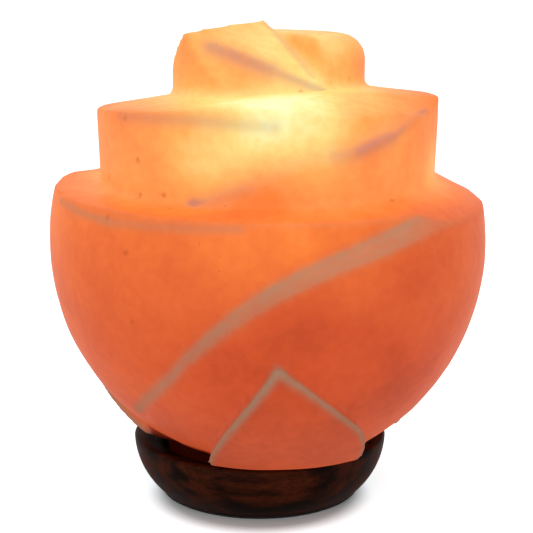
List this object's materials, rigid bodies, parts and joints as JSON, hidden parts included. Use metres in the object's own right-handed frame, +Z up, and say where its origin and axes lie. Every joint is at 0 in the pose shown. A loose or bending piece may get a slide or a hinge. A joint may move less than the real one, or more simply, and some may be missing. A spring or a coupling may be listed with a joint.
{
  "type": "salt crystal lamp",
  "caption": "Translucent rock-salt block carved as an open rose on a low turned wooden base, lit from inside by a small bulb in a holder that springs grip in a bore.",
  "frame": {"origin": "on the wooden base's turning axis, in the plane the felt ring stands on", "axes": "+Z up along the bore, -Y towards the carved front, +Y along the cord's way out at the back"},
  "size_m": [0.1522, 0.1532, 0.1659],
  "materials": {
    "rock_salt": "translucent carved rock salt, satin, orange, lit warm from inside",
    "dark_wood": "turned dark hardwood, satin oil finish",
    "felt": "pressed felt",
    "screw_steel": "zinc-plated steel",
    "plug_plastic": "grey nylon",
    "bush_rubber": "soft black",
    "holder_moulding": "black heat-proof moulding",
    "porcelain": "glazed off-white",
    "contact_brass": "plain brass",
    "spring_steel": "blued spring steel",
    "bulb_aluminium": "pressed aluminium",
    "black_glass": "black glass insulator",
    "solder": "dull solder",
    "clear_glass": "clear",
    "nickel_wire": "drawn nickel wire",
    "tungsten": "coiled tungsten"
  },
  "bodies": {
    "lamp": {"salt_rose": "rock_salt", "wood_base": "dark_wood", "foot_ring": "felt", "base_screws": "screw_steel", "wall_plugs": "plug_plastic", "cord_bush": "bush_rubber"},
    "holder": {"holder_cap": "holder_moulding", "holder_sleeve": "holder_moulding", "contact_block": "porcelain", "thread_shell": "contact_brass", "centre_contact": "contact_brass", "terminal_left": "contact_brass", "terminal_right": "contact_brass", "terminal_screws": "screw_steel", "clip_collar": "spring_steel", "clip_rivets": "screw_steel"},
    "clip_left": {"spring_clip_left": "spring_steel"},
    "clip_right": {"spring_clip_right": "spring_steel"},
    "bulb": {"bulb_cap": "bulb_aluminium", "bulb_insulator": "black_glass", "bulb_tip": "solder", "bulb_glass": "clear_glass", "bulb_stem": "clear_glass", "lead_wire_left": "nickel_wire", "lead_wire_right": "nickel_wire", "filament": "tungsten"}
  },
  "joints": [
    {"name": "holder_slide", "type": "slide", "parent": "lamp", "child": "holder", "axis": [0, 0, 1], "range_m": [-0.06, 0]},
    {"name": "clip_left_flex", "type": "hinge", "parent": "holder", "child": "clip_left", "pos_m": [-0.01555, 0, 0.0425], "axis": [0, -1, 0], "range_deg": [0, 6], "stiffness_Nm_per_rad": 0.05, "springref_deg": -5.73},
    {"name": "clip_right_flex", "type": "hinge", "parent": "holder", "child": "clip_right", "pos_m": [0.01555, 0, 0.0425], "axis": [0, 1, 0], "range_deg": [0, 6], "stiffness_Nm_per_rad": 0.05, "springref_deg": -5.73},
    {"name": "bulb_turn", "type": "hinge", "parent": "holder", "child": "bulb", "pos_m": [0, 0, 0.04], "axis": [0, 0, 1], "range_deg": [0, 1080]}
  ]
}
